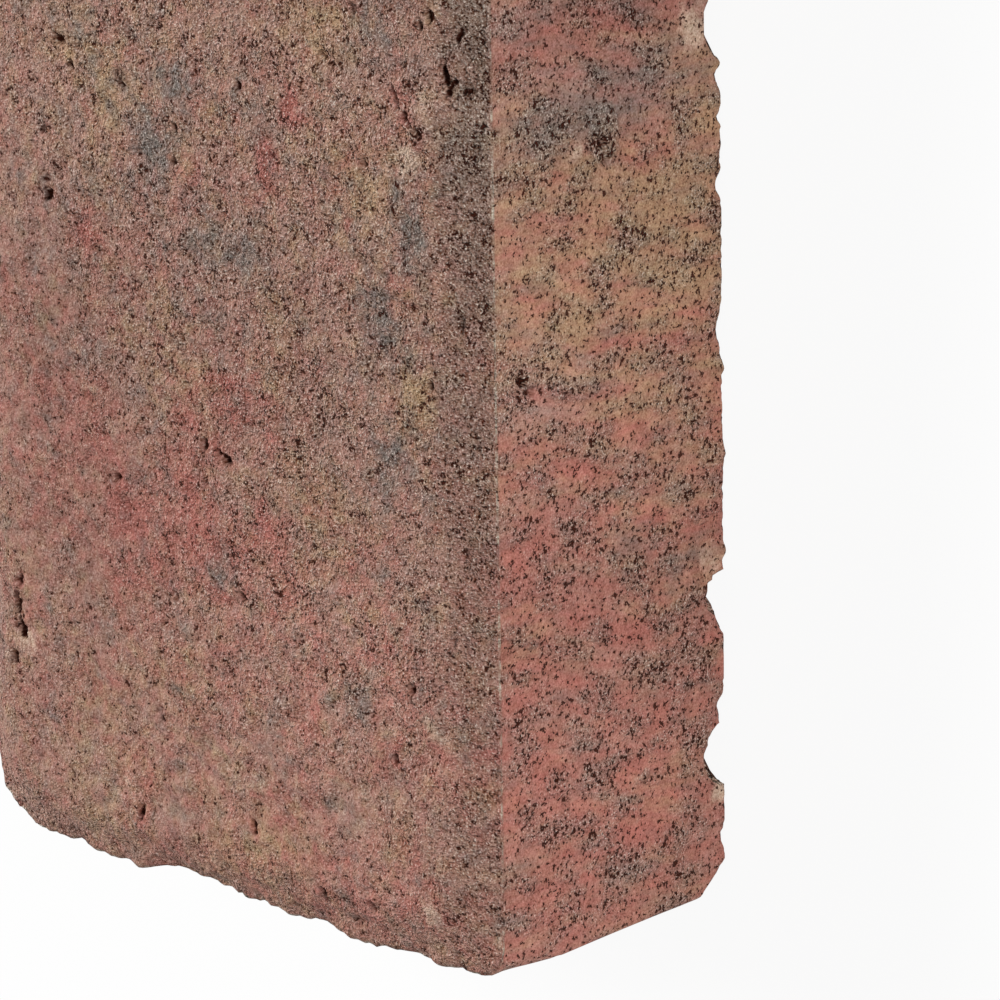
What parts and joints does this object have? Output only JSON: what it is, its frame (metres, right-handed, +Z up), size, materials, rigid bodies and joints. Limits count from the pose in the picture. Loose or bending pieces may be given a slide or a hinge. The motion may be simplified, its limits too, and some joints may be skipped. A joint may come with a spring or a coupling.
{
  "type": "concrete paving stone",
  "caption": "Rectangular pressed concrete block paver with a rolled bevel round its wearing face, blended earthy colours and a chipped lower edge, for laying in paths and drives.",
  "frame": {"origin": "middle of the bed face, on the ground", "axes": "+Z up through the wearing face, +X along the length, +Y across the width"},
  "size_m": [0.2, 0.1, 0.05],
  "materials": {
    "concrete": "matte, sandy, with red, tan and charcoal pigment blended"
  },
  "bodies": {
    "root": {"paving_stone": "concrete"}
  },
  "joints": []
}
